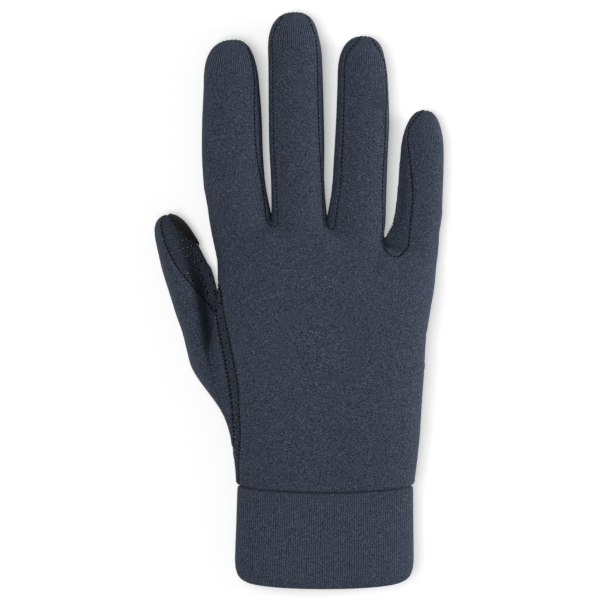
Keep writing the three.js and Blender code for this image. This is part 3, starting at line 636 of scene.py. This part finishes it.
def brushed_fleece(name, dark, mid, light):
    """Heathered fleece with a short nap."""
    material, output = new_material(name)
    where = add_node(material, "ShaderNodeTexCoord").outputs["Object"]
    heather = add_node(material, "ShaderNodeTexNoise", {
        "Vector": where, "Scale": 1000 / HEATHER_SIZE, "Detail": 2.0, "Roughness": 0.7,
    })
    along = add_node(material, "ShaderNodeSeparateXYZ", {"Vector": where})
    around = add_node(material, "ShaderNodeAttribute", attribute_name="around")
    unrolled = add_node(material, "ShaderNodeCombineXYZ", {
        "X": around.outputs["Fac"], "Y": along.outputs["Y"],
    })
    # A wave texture of scale 1 has a band every pi / 10 of a unit
    wales = add_node(material, "ShaderNodeTexWave", {
        "Vector": unrolled.outputs[0], "Scale": 1000 / WALE_SPACING * math.pi / 10, "Distortion": 2.0,
        "Detail": 2.0, "Detail Scale": 1.0,
    })
    stretched = add_node(material, "ShaderNodeAttribute", attribute_name="stretched")
    yarns = add_node(material, "ShaderNodeMix", {
        0: stretched.outputs["Fac"], 2: heather.outputs["Fac"], 3: wales.outputs["Fac"],
    }, data_type="FLOAT")
    shades = add_node(material, "ShaderNodeValToRGB", {"Fac": yarns.outputs[0]})
    ramp = shades.color_ramp
    ramp.elements[0].position, ramp.elements[0].color = 0.3, colour(dark)
    ramp.elements[1].position, ramp.elements[1].color = 0.7, colour(light)
    middle = ramp.elements.new(0.5)
    middle.color = colour(mid)
    nap = add_node(material, "ShaderNodeTexNoise", {
        "Vector": where, "Scale": 1000 / NAP_SIZE, "Detail": 3.0, "Roughness": 0.7,
    })
    yarn_bump = add_node(material, "ShaderNodeBump", {
        "Strength": 0.35, "Distance": 0.0003, "Height": yarns.outputs[0],
    })
    nap_bump = add_node(material, "ShaderNodeBump", {
        "Strength": 0.3, "Distance": 0.0002, "Height": nap.outputs["Fac"], "Normal": yarn_bump.outputs[0],
    })
    cloth_shader = add_node(material, "ShaderNodeBsdfPrincipled", {
        "Base Color": shades.outputs[0], "Roughness": 0.95, "Specular IOR Level": 0.2,
        "Sheen Weight": 0.05, "Sheen Roughness": 0.5, "Sheen Tint": colour("#8c99b3"),
        "Normal": nap_bump.outputs[0],
    })
    material.node_tree.links.new(cloth_shader.outputs[0], output.inputs["Surface"])
    return material


def cut_edges(faces, count):
    """The cut edges of a cloth of so many points, which only one triangle has."""
    pairs = face_edges(faces)
    keys = np.sort(pairs, axis=1) @ [count, 1]
    _, first, times = np.unique(keys, return_index=True, return_counts=True)
    return pairs[first[times == 1]]


def thick_cloth(outer, edges, count):
    """The outer face, the inner face, whose points come count further on, and walls between."""
    a, b = edges.T
    walls = [np.stack([b, a, a + count], axis=1), np.stack([b, a + count, b + count], axis=1)]
    return np.concatenate([outer, outer[:, ::-1] + count, *walls])


def sewn_panel(name, panel, material):
    """One panel of cloth with its thickness, shaded smooth but for its cut edges."""
    used, index = np.unique(skin_faces[panel_of == PANELS.index(panel)], return_inverse=True)
    outer, count = index.reshape(-1, 3), len(used)
    edges = cut_edges(outer, count)
    points = np.concatenate([cloth[used], skin[used] - outward[used] * FLEECE_THICKNESS])
    piece = new_object(name, points, thick_cloth(outer, edges, count))
    mesh = piece.data
    mesh.polygons.foreach_set("use_smooth", [True] * len(mesh.polygons))
    rim = {frozenset(pair) for pair in (edges.tolist() + (edges + count).tolist())}
    for line in mesh.edges:
        line.use_edge_sharp = frozenset(line.vertices) in rim
    for attribute, values in (("stretched", stretch), ("around", from_middle / 1000)):
        layer = mesh.attributes.new(attribute, "FLOAT", "POINT")
        layer.data.foreach_set("value", np.tile(values[used], 2))
    mesh.materials.append(material)
    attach(piece, "root")
    return piece


# How stretched the cloth is, and how far round from the middle of the finger it lies
stretch, from_middle = np.zeros(len(skin)), np.zeros(len(skin))
for finger in FINGERS.values():
    lean = math.radians(finger["lean"])
    from_tip = np.hypot(*(skin[:, :2] - plan_place(finger, 1, 0)).T)
    aside = (skin[:, :2] - finger["root"]) @ [math.cos(lean), -math.sin(lean)]
    turned = np.arctan2(aside, skin[:, 2] - finger["widest"])
    turned = np.where(np.abs(turned) > math.pi / 2, np.sign(turned) * math.pi - turned, turned)
    near = 1 - from_tip / TIP_STRETCH_REACH
    from_middle = np.where(near > stretch, turned * WALE_RADIUS, from_middle)
    stretch = np.maximum(stretch, near)
stretch *= TIP_STRETCH

navy_fleece = brushed_fleece("brushed stretch fleece", FLEECE_DARK, FLEECE_MID, FLEECE_LIGHT)

# Back of the hand: one panel of the fleece over the back and all four fingers, with no seam
# across the knuckles.
back = sewn_panel("back_of_hand", "back", navy_fleece)
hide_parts("back_panel")

# Finger gussets: three narrow strips of the same fleece, each sewn in a U between two fingers
# as their side walls.
for neighbours in ("index_middle", "middle_ring", "ring_little"):
    gusset = sewn_panel("gusset_strip_" + neighbours, "gusset_" + neighbours, navy_fleece)
    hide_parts("gusset_" + neighbours)

# Outer half of the thumb: plain fleece, from the heel of the hand round the thumb's outside.
thumb_back = sewn_panel("thumb_outside", "thumb_outer", navy_fleece)
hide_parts("thumb_outer")

# Palm and inner half of the thumb: the same fleece carrying silicone grip dots, with its colours painted
# a little darker than the plain fleece. The darker tone is painted shade, standing in for the shade that
# falls on the thumb's inner half and on the strip beside it. The palm wraps round the edge of the hand
# beside the thumb, where it shows from above as a narrow strip.
# These colours are painted shade: the same navy heather as the plain fleece, set about a sixth darker
grip_fleece_darkened_for_shade = brushed_fleece("grip fleece darkened for shade", "#141820", "#2a303c", "#474e5d")
palm = sewn_panel("palm_cloth", "palm", grip_fleece_darkened_for_shade)
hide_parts("palm_panel")
thumb_front = sewn_panel("thumb_inside", "thumb_inner", grip_fleece_darkened_for_shade)
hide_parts("thumb_inner")

# Seam thread: matt navy thread, machine sewn from inside, so that only short dark stitches show
# in the bottom of the grooves. They run along every seam between two panels.
STITCH_PITCH, STITCH_LENGTH, SHORTEST_SEAM = 1.7, 1.1, 5
THREAD_RADIUS, THREAD_SINK, THREAD_PLY = 0.3, 0.3, 0.25


def seam_runs():
    """The seams as runs of points, each between the same two panels."""
    runs = []
    for pair in np.unique(seam_panels, axis=0):
        edges = seams[(seam_panels == pair).all(axis=1)].tolist()
        beside = {}
        for a, b in edges:
            beside.setdefault(a, []).append(b)
            beside.setdefault(b, []).append(a)
        unused = {frozenset(edge) for edge in edges}
        for start in sorted(beside, key=lambda point: len(beside[point]) == 2):
            run = [start]
            onward = [start]
            while onward:
                onward = [q for q in beside[run[-1]] if frozenset((run[-1], q)) in unused]
                if onward:
                    unused.discard(frozenset((run[-1], onward[0])))
                    run.append(onward[0])
            if len(run) >= SHORTEST_SEAM:
                runs.append(run)
    return runs


def stitches_mesh():
    """Short round-ended lengths of thread, one after another along every seam."""
    turn = 2 * np.pi * np.arange(6) / 6
    ends = ((-0.5, 0.45), (-0.3, 1.0), (0.3, 1.0), (0.5, 0.45))
    unit = np.array([(along, math.cos(t) * wide, math.sin(t) * wide) for along, wide in ends for t in turn])
    unit *= [STITCH_LENGTH, THREAD_RADIUS, THREAD_RADIUS]
    sides = []
    for ring in range(3):
        for i in range(6):
            a, b = ring * 6 + i, ring * 6 + (i + 1) % 6
            sides += [(a, b, b + 6), (a, b + 6, a + 6)]
    sides += [(0, i + 1, i) for i in range(1, 5)] + [(18, 18 + i, 19 + i) for i in range(1, 5)]
    points, faces = [], []
    for run in seam_runs():
        out = outward[run]
        line = skin[run] - out * (THREAD_SINK * shallower[run])[:, None]
        gone = np.concatenate([[0], np.cumsum(np.linalg.norm(np.diff(line, axis=0), axis=1))])
        for middle in np.arange(STITCH_PITCH / 2, gone[-1] - STITCH_PITCH / 3, STITCH_PITCH):
            start, spot, end = (
                np.array([np.interp(middle + step, gone, line[:, axis]) for axis in range(3)])
                for step in (-STITCH_LENGTH / 2, 0, STITCH_LENGTH / 2)
            )
            ahead = (end - start) / max(np.linalg.norm(end - start), 1e-6)
            up = np.array([np.interp(middle, gone, out[:, axis]) for axis in range(3)])
            aside = np.cross(ahead, up)
            aside /= max(np.linalg.norm(aside), 1e-6)
            faces.append(np.array(sides) + len(unit) * len(points))
            points.append(spot + unit @ np.stack([ahead, aside, np.cross(aside, ahead)]))
    return np.concatenate(points), np.concatenate(faces)


def smooth_piece(name, points, faces, material):
    """A rounded piece that rides with the glove."""
    piece = new_object(name, points, faces)
    piece.data.polygons.foreach_set("use_smooth", [True] * len(piece.data.polygons))
    piece.data.materials.append(material)
    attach(piece, "root")
    return piece


# Spun polyester thread: two plies twisted and dyed, so it is matt, with a faint change of shade at
# each turn of the ply
sewing_thread, output = new_material("navy sewing thread")
where = add_node(sewing_thread, "ShaderNodeTexCoord").outputs["Object"]
twist = add_node(sewing_thread, "ShaderNodeTexNoise", {
    "Vector": where, "Scale": 1000 / THREAD_PLY, "Detail": 1.0,
})
shades = add_node(sewing_thread, "ShaderNodeValToRGB", {"Fac": twist.outputs["Fac"]})
shades.color_ramp.elements[0].color = colour("#030405")
shades.color_ramp.elements[1].color = colour("#0c0e12")
thread_shader = add_node(sewing_thread, "ShaderNodeBsdfPrincipled", {
    "Base Color": shades.outputs[0], "Roughness": 0.85, "Specular IOR Level": 0.2,
})
sewing_thread.node_tree.links.new(thread_shader.outputs[0], output.inputs["Surface"])
stitches = smooth_piece("seam_stitches", *stitches_mesh(), sewing_thread)

# Grip dots: short worms of dark silicone, printed on the cloth in a square grid and raised nearly
# half a millimetre, each turned across its neighbours. The grid lies cornerwise on the palm and
# straight on the thumb.
DOT_LENGTH, DOT_WIDTH, DOT_HEIGHT = 1.95, 1.05, 0.42
DOT_GRID, DOT_UNEVEN_TURN, DOT_REACH, DOT_CLEAR_OF_SEAMS = 3.3, 0.15, 1.3, 0.85
PALM_ROWS, PALM_PITCH, PALM_STAGGER = DOT_GRID * 0.707, DOT_GRID * 1.414, 0.5
THUMB_ROWS, THUMB_PITCH, THUMB_STAGGER = DOT_GRID, DOT_GRID, 0.2
STRIP_START, STRIP_ROWS, STRIP_COLUMNS = 5.0, 2.5, 0.2
PALM_DOTS_START, PALM_DOTS_END, FINGER_DOTS_START, THUMB_DOTS_START = 2.0, 103, 1.0, 38.0
# Cloth is left bare by the way it faces, from straight down at -1 to straight up at 1
PALM_BARE, THUMB_BARE = (-0.45, 1.0), (-0.85, 0.45)
# The table lies under the dots, which lift the cloth off it
TABLE_DROP, DOT_ABOVE_TABLE = 0.45, 0.05
ABOVE_HAND = 60


def printed_dots(rings_at, distances, panel, pitch, stagger, bare):
    """Places on one panel for the dots, in rows round the hand or a digit."""
    chosen = skin_faces[panel_of == PANELS.index(panel)]
    tree = BVHTree.FromPolygons(cloth.tolist(), chosen.tolist())
    places = []
    for row, distance in enumerate(distances):
        ring = rings_at(distance)
        start = len(ring) * 3 // 4
        ring = np.roll(ring, -start, axis=0)
        closed = np.concatenate([ring, ring[:1]])
        run = np.concatenate([[0], np.cumsum(np.linalg.norm(np.diff(closed, axis=0), axis=1))])
        count = int(run[-1] / pitch)
        for k in range(-(count // 2), count // 2 + 1):
            at = (k + row * stagger % 1) * pitch
            spot = [np.interp(at % run[-1], run, closed[:, axis]) for axis in range(3)]
            found, normal, face, gap = tree.find_nearest(spot)
            if gap > DOT_REACH or fields[chosen[face], FROM_SEAM].min() < DOT_CLEAR_OF_SEAMS:
                continue
            if bare[0] < normal.z < bare[1]:
                continue
            places.append((found, normal, (row + (k if stagger < 0.5 else 0)) % 2))
    return places


def strip_dots():
    """Places for the two staggered columns of dots on the strip that shows beside the thumb."""
    chosen = skin_faces[panel_of == PANELS.index("palm")]
    tree = BVHTree.FromPolygons(cloth.tolist(), chosen.tolist())
    left, right = palm_seam("thumb_seam", 0, THUMB_CROTCH), palm_seam("back_seam", 0, THUMB_CROTCH)
    places = []
    for row, y in enumerate(np.arange(STRIP_START, THUMB_CROTCH * PALM_LENGTH, STRIP_ROWS)):
        share = 0.5 + STRIP_COLUMNS * (1 if row % 2 else -1)
        left_x, right_x = (np.interp(y, seam[:, 1], seam[:, 0]) for seam in (left, right))
        x = left_x * (1 - share) + right_x * share
        found, normal, _, _ = tree.ray_cast((x, y, ABOVE_HAND), (0, 0, -1))
        if found is not None:
            places.append((found, normal, row % 2))
    return places


def dots_mesh(places, ahead, turned):
    """All the dots of one panel: flattened domes on the cloth, pressed flat on the table."""
    turn = 2 * np.pi * np.arange(8) / 8
    levels = ((1.0, -0.1), (0.85, 0.55), (0.45, 0.9))
    unit = [(math.cos(t) * s, math.sin(t) * s, h) for s, h in levels for t in turn] + [(0, 0, 1.0)]
    unit = np.array(unit) * [DOT_WIDTH / 2, DOT_LENGTH / 2, DOT_HEIGHT]
    sides = []
    for ring in range(2):
        for i in range(8):
            a, b = ring * 8 + i, ring * 8 + (i + 1) % 8
            sides += [(a, b, b + 8), (a, b + 8, a + 8)]
    sides += [(16 + i, 16 + (i + 1) % 8, 24) for i in range(8)]
    points, faces = [], []
    chance = np.random.default_rng(7)
    for found, normal, crossed in places:
        up = np.array(normal)
        across = np.cross(ahead, up)
        across /= np.linalg.norm(across)
        along = np.cross(up, across)
        angle = turned + math.pi / 2 * crossed + chance.normal(0, DOT_UNEVEN_TURN)
        side = across * math.cos(angle) + along * math.sin(angle)
        front = np.cross(up, side)
        faces.append(np.array(sides) + 25 * len(points))
        points.append(np.array(found) + unit @ np.stack([side, front, up]))
    points = np.concatenate(points)
    points[:, 2] = np.maximum(points[:, 2], DOT_ABOVE_TABLE - TABLE_DROP)
    return points, np.concatenate(faces)


# Silicone rubber, squeezed through a printing screen and cured: smooth and glossy, so each dot
# carries a small glint, and softly uneven over about a millimetre.
SCREEN_PATCH = 1.1
dark_silicone, output = new_material("printed silicone")
where = add_node(dark_silicone, "ShaderNodeTexCoord").outputs["Object"]
cloud = add_node(dark_silicone, "ShaderNodeTexNoise", {
    "Vector": where, "Scale": 1000 / SCREEN_PATCH, "Detail": 2.0,
})
shades = add_node(dark_silicone, "ShaderNodeValToRGB", {"Fac": cloud.outputs["Fac"]})
shades.color_ramp.elements[0].color = colour("#030303")
shades.color_ramp.elements[1].color = colour("#0d0b08")
bump = add_node(dark_silicone, "ShaderNodeBump", {
    "Strength": 0.2, "Distance": 0.0002, "Height": cloud.outputs["Fac"],
})
rubber = add_node(dark_silicone, "ShaderNodeBsdfPrincipled", {
    "Base Color": shades.outputs[0], "Roughness": 0.14, "IOR": 1.41, "Specular IOR Level": 0.9,
    "Normal": bump.outputs[0],
})
dark_silicone.node_tree.links.new(rubber.outputs[0], output.inputs["Surface"])

thumb_lean = math.radians(THUMB["lean"])
palm_grid = "palm", PALM_PITCH, PALM_STAGGER, PALM_BARE
palm_rows = np.arange(PALM_DOTS_START, PALM_DOTS_END, PALM_ROWS)
palm_places = printed_dots(lambda d: palm_ring(d, 256), palm_rows, *palm_grid)
for finger in FINGERS.values():
    finger_rows = np.arange(FINGER_DOTS_START, finger["length"] - 1, PALM_ROWS)
    palm_places += printed_dots(lambda d: digit_ring(finger, d, 160), finger_rows, *palm_grid)
palm_places += strip_dots()
palm_dots = smooth_piece("palm_grip_dots", *dots_mesh(palm_places, (0, 1, 0), math.pi / 4), dark_silicone)
thumb_rows = np.arange(THUMB_DOTS_START, THUMB["length"] - 1, THUMB_ROWS)
thumb_places = printed_dots(
    lambda d: digit_ring(THUMB, d, 160), thumb_rows, "thumb_inner", THUMB_PITCH, THUMB_STAGGER, THUMB_BARE,
)
thumb_dots = smooth_piece(
    "thumb_grip_dots",
    *dots_mesh(thumb_places, (math.sin(thumb_lean), math.cos(thumb_lean), 0), 0), dark_silicone,
)

# Cuff: a band of the same fleece folded double, so its hem is a soft rounded fold. It is sewn
# to the hand all round, and its wales run from the seam to the hem.
CUFF_LENGTH, CUFF_WIDTH, CUFF_HEIGHT, CUFF_WIDEST = 37.2, 71.2, 17.6, 8.0
HEM_DRAW_IN, HEM_DROP, HEM_SHIFT, CUFF_GAP = 3.2, 0.3, 0.5, 0.3
HEM_SAG, HEM_SAG_SHAPE = 3.6, 0.45
CUFF_STRETCH = 0.13
# The cloth's way from the seam allowance inside the hand, down the outside, round the hem and back
# up the inside: the share of the cuff's length, and how far in from its outer face
CUFF_PROFILE = (
    (-0.08, 2.4), (-0.085, 2.1), (-0.08, 1.8), (-0.04, 1.7), (0, 1.6), (0.001, 1.4), (0.004, 1.1),
    (0.012, 0.75), (0.025, 0.55), (0.045, 0.48), (0.1, 0.4), (0.2, 0.35), (0.3, 0.3), (0.4, 0.25),
    (0.5, 0.15), (0.6, 0.05), (0.7, -0.05), (0.8, -0.15), (0.88, -0.15), (0.93, -0.05), (0.96, 0.05),
    (0.98, 0.2), (0.992, 0.5), (1, 1.1), (0.992, 1.7), (0.98, 2.0),
    (0.95, 2.2), (0.8, 2.2), (0.6, 2.2), (0.4, 2.2), (0.2, 2.2), (0.05, 2.2),
)
DRAWN_IN = {"down": (0, 0.8, 0.91, 0.97, 1), "share": (0, 0, 0.15, 0.5, 1)}


def cuff_ring(down, inset, around=360):
    """The points round the cuff at a share of its length, set in from its outer face."""
    drawn = smooth_value(down, DRAWN_IN["down"], DRAWN_IN["share"]) * HEM_DRAW_IN
    half = CUFF_WIDTH / 2 - drawn
    section = lying_section(
        half, half, CUFF_HEIGHT - drawn * HEM_DROP, CUFF_WIDEST, PALM_SQUARENESS, around, inset=inset,
    )
    seam = wrist_line(section[:, 0] / half) - CUFF_GAP
    across = np.minimum(np.square(section[:, 0] / half), 1)
    hem = -CUFF_LENGTH - HEM_SAG * (1 - across) ** HEM_SAG_SHAPE
    x = WRIST_OFFSET + section[:, 0] - HEM_SHIFT * down
    return np.column_stack([x, seam + (hem - seam) * down, section[:, 1]])


rings = np.array([cuff_ring(*row) for row in CUFF_PROFILE])
count, around = rings.shape[:2]
grid = np.arange(count * around).reshape(count, around)
below, beside = np.roll(grid, -1, axis=0), np.roll(grid, -1, axis=1)
cuff_faces = np.stack([grid, beside, np.roll(below, -1, axis=1), below], axis=-1).reshape(-1, 4)
cuff = smooth_piece("cuff_band_folded", rings.reshape(-1, 3), cuff_faces, navy_fleece)
# The wales lie at even steps round the cuff, counted from the middle of its upper or lower face
round_cuff = cuff_ring(0.5, 0)
run = np.cumsum(np.linalg.norm(round_cuff - np.roll(round_cuff, 1, axis=0), axis=1))
quarter = run[around // 4]
from_top = (run - quarter + 2 * quarter) % (4 * quarter) - 2 * quarter
from_top = np.where(np.abs(from_top) > quarter, np.sign(from_top) * 2 * quarter - from_top, from_top)
for attribute, values in (("stretched", np.full(around, CUFF_STRETCH)), ("around", from_top / 1000)):
    layer = cuff.data.attributes.new(attribute, "FLOAT", "POINT")
    layer.data.foreach_set("value", np.tile(values, count))
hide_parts("cuff_band")

# Touch patch: a piece of thin black leatherette, cut to shape and bonded over the tip of the
# thumb's inner half. Its embossed grain is matt, and its cut edge thins out over 0.6 mm.
PATCH_EDGE = {
    "along": (0.818, 0.82, 0.838, 0.873, 0.911, 0.95, 0.984, 0.99, 1.05, 1.05),
    "side": (0.9, 0.495, 0.393, 0.268, 0.15, 0.077, 0.033, 0.0, 0.0, 0.9),
}
PATCH_LOW_EDGE, PATCH_SINK, ON_PATCH = 1.5, 0.2, 8
PATCH_THICKNESS = {"at_edge": 0.45, "more": 0.3, "within": 0.6}
patch_outline = plan_place(THUMB, PATCH_EDGE["along"], PATCH_EDGE["side"])
on_patch = np.minimum(inside_by(patch_outline, skin), skin[:, 2] - PATCH_LOW_EDGE)
patch_points, patch_faces, patch_fields = slit(
    skin, skin_faces, np.column_stack([fields, on_patch]), ON_PATCH,
)
patch_faces = patch_faces[patch_fields[patch_faces, ON_PATCH].mean(axis=1) > 0]
patch_faces = patch_faces[patch_fields[patch_faces, IN_THUMB].mean(axis=1) > 0]
used, index = np.unique(patch_faces, return_inverse=True)
count = len(used)
patch_outer = index.reshape(-1, 3)
patch_rim = cut_edges(patch_outer, count)
bottom = patch_points[used]
direction = normals_of(patch_points, patch_faces)[used]
from_edge = distance_to(bottom, bottom[patch_rim])
thickness = PATCH_THICKNESS["at_edge"] + PATCH_THICKNESS["more"] * np.sqrt(
    np.clip(from_edge / PATCH_THICKNESS["within"], 0, 1)
)
patch_points = np.concatenate([
    bottom + direction * thickness[:, None], bottom - direction * PATCH_SINK,
])
# Leatherette: a plastic coat embossed with a leather grain, drawn at 0.7 mm so that it shows, and
# clouded by handling over about 2 mm. It looks matt and nearly black.
GRAIN_SIZE, WEAR_SIZE = 0.7, 2.0
leatherette, output = new_material("embossed leatherette")
where = add_node(leatherette, "ShaderNodeTexCoord").outputs["Object"]
grain = add_node(leatherette, "ShaderNodeTexVoronoi", {
    "Vector": where, "Scale": 1000 / GRAIN_SIZE,
}, feature="DISTANCE_TO_EDGE")
cloud = add_node(leatherette, "ShaderNodeTexNoise", {
    "Vector": where, "Scale": 1000 / WEAR_SIZE, "Detail": 3.0,
})
shades = add_node(leatherette, "ShaderNodeValToRGB", {"Fac": cloud.outputs["Fac"]})
shades.color_ramp.elements[0].color = colour("#080807")
shades.color_ramp.elements[1].color = colour("#141310")
bump = add_node(leatherette, "ShaderNodeBump", {
    "Strength": 0.4, "Distance": 0.0002, "Height": grain.outputs["Distance"],
})
coat = add_node(leatherette, "ShaderNodeBsdfPrincipled", {
    "Base Color": shades.outputs[0], "Roughness": 0.72, "Specular IOR Level": 0.35,
    "Normal": bump.outputs[0],
})
leatherette.node_tree.links.new(coat.outputs[0], output.inputs["Surface"])
touch_patch = smooth_piece(
    "touch_patch", patch_points, thick_cloth(patch_outer, patch_rim, count), leatherette,
)
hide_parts("thumb_touch_patch")

# Studio: a matt white table that glows faintly, a large soft light high on the left, a smaller one
# low on the right and a weak fill all round.
TABLE_REACH = 3
floor_mesh = bpy.data.meshes.new("table")
corners = [(x * TABLE_REACH, y * TABLE_REACH, 0) for x, y in ((-1, -1), (1, -1), (1, 1), (-1, 1))]
floor_mesh.from_pydata(corners, [], [(0, 1, 2, 3)])
table = bpy.data.objects.new("table", floor_mesh)
bpy.context.scene.collection.objects.link(table)
table.location.z = -TABLE_DROP / 1000
white, output = new_material("matt white table")
paint = add_node(white, "ShaderNodeBsdfPrincipled", {
    "Base Color": colour("#f4f4f4"), "Roughness": 0.9,
    "Emission Color": (1, 1, 1, 1), "Emission Strength": 0.3,
})
white.node_tree.links.new(paint.outputs[0], output.inputs["Surface"])
floor_mesh.materials.append(white)


def soft_light(name, place, size, watts):
    """A square soft light at a place in metres, aimed at the middle of the glove."""
    lamp = bpy.data.lights.new(name, "AREA")
    lamp.shape, lamp.size, lamp.energy = "SQUARE", size, watts
    light = bpy.data.objects.new(name, lamp)
    light.location = place
    light.rotation_euler = (-Vector(place)).to_track_quat("-Z", "Y").to_euler()
    bpy.context.scene.collection.objects.link(light)


soft_light("high on the left", (-0.3, -0.05, 1.25), 0.8, 11.0)
soft_light("low on the right", (1.1, 0.1, 0.22), 0.4, 10)
world = bpy.data.worlds.new("studio")
world.use_nodes = True
background = world.node_tree.nodes["Background"]
background.inputs["Color"].default_value = (1, 1, 1, 1)
background.inputs["Strength"].default_value = 0.2
bpy.context.scene.world = world
bpy.context.scene.view_settings.view_transform = "Standard"

# Camera: straight above the glove. Its picture is 240 mm wide at the level of the glove's outline.
CAMERA_HEIGHT, VIEW_WIDTH, OUTLINE_LEVEL = 1.2, 0.24, 0.008
camera_data = bpy.data.cameras.new("camera")
camera_data.sensor_width = 36
camera_data.lens = 36 * (CAMERA_HEIGHT - OUTLINE_LEVEL) / VIEW_WIDTH
camera = bpy.data.objects.new("camera", camera_data)
camera.location = (0, 0, CAMERA_HEIGHT)
bpy.context.scene.collection.objects.link(camera)
bpy.context.scene.camera = camera
